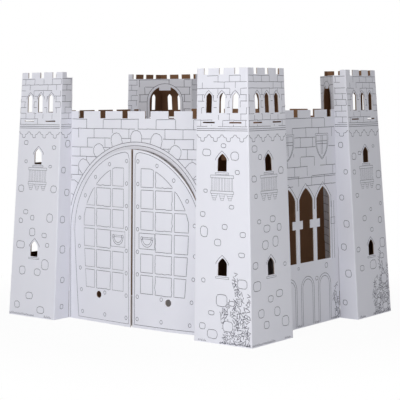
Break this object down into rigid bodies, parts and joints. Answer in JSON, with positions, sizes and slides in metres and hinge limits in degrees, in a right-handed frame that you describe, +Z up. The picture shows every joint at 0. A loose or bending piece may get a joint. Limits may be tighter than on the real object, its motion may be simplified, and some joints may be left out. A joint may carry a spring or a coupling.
{
  "type": "cardboard play castle",
  "caption": "Folded cardboard play castle with corner towers, crenellated walls and arched double doors, for children to stand in and colour.",
  "frame": {"origin": "on the floor at the centre of the yard", "axes": "+Z up, -Y towards the doors, +X to the right as seen from the doors"},
  "size_m": [1.44, 1.14, 1.15],
  "materials": {
    "printed_board": "white printed corrugated board outside, bare brown board inside and on the cut edges"
  },
  "bodies": {
    "root": {"front_left_tower": "printed_board", "front_right_tower": "printed_board", "back_right_tower": "printed_board", "back_left_tower": "printed_board", "front_wall": "printed_board", "right_wall": "printed_board", "back_wall": "printed_board", "left_wall": "printed_board"}
  },
  "joints": []
}
